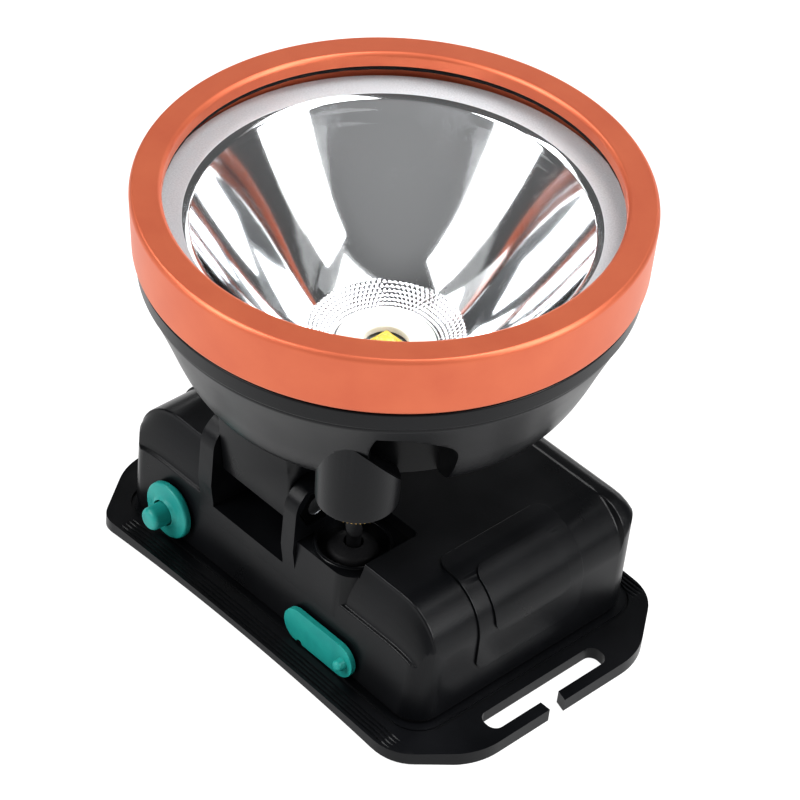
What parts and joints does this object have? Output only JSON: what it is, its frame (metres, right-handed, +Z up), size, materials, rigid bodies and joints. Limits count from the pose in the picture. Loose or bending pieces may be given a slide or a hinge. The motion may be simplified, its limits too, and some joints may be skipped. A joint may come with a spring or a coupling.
{
  "type": "cap lamp",
  "caption": "Miner's cap lamp: a round lamp head with a coloured bezel on a friction hinge over a battery box, on a slotted plate for a helmet strap.",
  "frame": {"origin": "middle of the footprint of the whole lamp, on the plane its base plate stands on", "axes": "+Z up out of the base plate towards the lamp head, +X along the battery box towards the charging port end, -Y out of the long side that carries the button and the port"},
  "size_m": [0.0944, 0.087, 0.0892],
  "materials": {
    "black_plastic": "moulded black polycarbonate/ABS, satin",
    "copper_anodised": "satin orange-copper anodised",
    "clear_glass": "clear toughened glass",
    "bright_reflector": "vacuum-metallised, bright",
    "teal_silicone": "teal silicone rubber",
    "black_rubber": "black rubber",
    "white_silicone": "off-white silicone",
    "steel": "zinc or nickel plated steel",
    "brass": "bare turned brass",
    "aluminium": "machined aluminium",
    "green_board": "glass-epoxy circuit board",
    "switch_black": "moulded switch body",
    "cell_wrap": "shrink-wrapped lithium cell",
    "led_phosphor": "LED with yellow phosphor and clear dome"
  },
  "bodies": {
    "base": {"base_plate": "black_plastic", "base_screw_1": "steel", "base_screw_2": "steel", "base_screw_3": "steel", "base_screw_4": "steel", "base_seal": "black_rubber", "battery_cell_1": "cell_wrap", "battery_cell_2": "cell_wrap", "box_shell": "black_plastic", "button_boot": "teal_silicone", "charge_socket": "steel", "contact_strip_1": "steel", "contact_strip_2": "steel", "control_board": "green_board", "hinge_nut": "steel", "hinge_screw": "steel", "lead_grommet": "black_rubber", "power_lead": "black_rubber", "tact_switch": "switch_black"},
    "head": {"bezel_ring": "copper_anodised", "lens": "clear_glass", "lens_gasket": "black_rubber", "reflector": "bright_reflector", "led_emitter": "led_phosphor", "led_star_board": "aluminium", "led_centring_ring": "white_silicone", "heat_sink_disc": "aluminium", "board_screw_1": "steel", "board_screw_2": "steel", "head_housing": "black_plastic", "housing_o_ring": "black_rubber", "gland_collar": "brass"},
    "button": {"button_plunger": "teal_silicone"},
    "plug": {"port_plug": "teal_silicone"}
  },
  "joints": [
    {"name": "head_tilt", "type": "hinge", "parent": "base", "child": "head", "pos_m": [0, -0.01605, 0.03], "axis": [1, 0, 0], "range_deg": [-3, 85], "deforming": ["power_lead"]},
    {"name": "button_press", "type": "slide", "parent": "base", "child": "button", "axis": [0, 1, 0], "range_m": [0, 0.0008], "stiffness_N_per_m": 300, "springref_m": -0.001},
    {"name": "plug_open", "type": "hinge", "parent": "base", "child": "plug", "pos_m": [0.0056, -0.02135, 0.0075], "axis": [0, 0, -1], "range_deg": [0, 95]}
  ]
}
